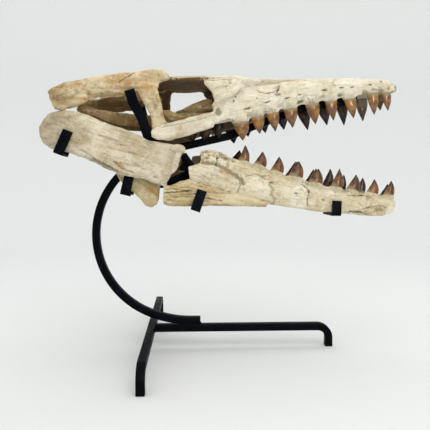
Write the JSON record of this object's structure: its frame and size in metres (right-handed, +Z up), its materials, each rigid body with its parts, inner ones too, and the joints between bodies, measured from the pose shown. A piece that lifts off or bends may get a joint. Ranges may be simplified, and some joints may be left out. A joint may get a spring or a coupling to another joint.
{
  "type": "mosasaur skull fossil on a steel stand",
  "caption": "Long toothed marine-reptile skull fossil with jaws agape, gripped by straps on a bent steel bar that stands on three feet.",
  "frame": {"origin": "on the floor, below the middle of the whole model's box", "axes": "+X towards the tip of the snout, +Y towards the animal's left, +Z up"},
  "size_m": [0.576, 0.4202, 0.4652],
  "materials": {
    "fossil_bone": "matt mineralised bone, cream to brown",
    "blackened_steel": "satin black coating on mild steel"
  },
  "bodies": {
    "root": {"angular_left": "fossil_bone", "angular_right": "fossil_bone", "braincase": "fossil_bone", "dentary_left": "fossil_bone", "dentary_right": "fossil_bone", "ectopterygoid_left": "fossil_bone", "ectopterygoid_right": "fossil_bone", "frontal": "fossil_bone", "jugal_left": "fossil_bone", "jugal_right": "fossil_bone", "maxilla_left": "fossil_bone", "maxilla_right": "fossil_bone", "opisthotic_left": "fossil_bone", "opisthotic_right": "fossil_bone", "palatine_left": "fossil_bone", "palatine_right": "fossil_bone", "parietal": "fossil_bone", "postdentary_left": "fossil_bone", "postdentary_right": "fossil_bone", "postorbitofrontal_left": "fossil_bone", "postorbitofrontal_right": "fossil_bone", "prefrontal_left": "fossil_bone", "prefrontal_right": "fossil_bone", "premaxilla": "fossil_bone", "pterygoid_left": "fossil_bone", "pterygoid_right": "fossil_bone", "quadrate_left": "fossil_bone", "quadrate_right": "fossil_bone", "splenial_left": "fossil_bone", "splenial_right": "fossil_bone", "squamosal_left": "fossil_bone", "squamosal_right": "fossil_bone", "stand_cranium_strap_left": "blackened_steel", "stand_cranium_strap_right": "blackened_steel", "stand_cross_bar": "blackened_steel", "stand_hook_front_left": "blackened_steel", "stand_hook_front_right": "blackened_steel", "stand_hook_hinge_left": "blackened_steel", "stand_hook_hinge_right": "blackened_steel", "stand_hook_middle_left": "blackened_steel", "stand_hook_middle_right": "blackened_steel", "stand_hook_rear_left": "blackened_steel", "stand_hook_rear_right": "blackened_steel", "stand_jaw_bar": "blackened_steel", "stand_long_bar": "blackened_steel", "stand_post": "blackened_steel", "stand_rear_bar": "blackened_steel", "supratemporal_left": "fossil_bone", "supratemporal_right": "fossil_bone"}
  },
  "joints": []
}
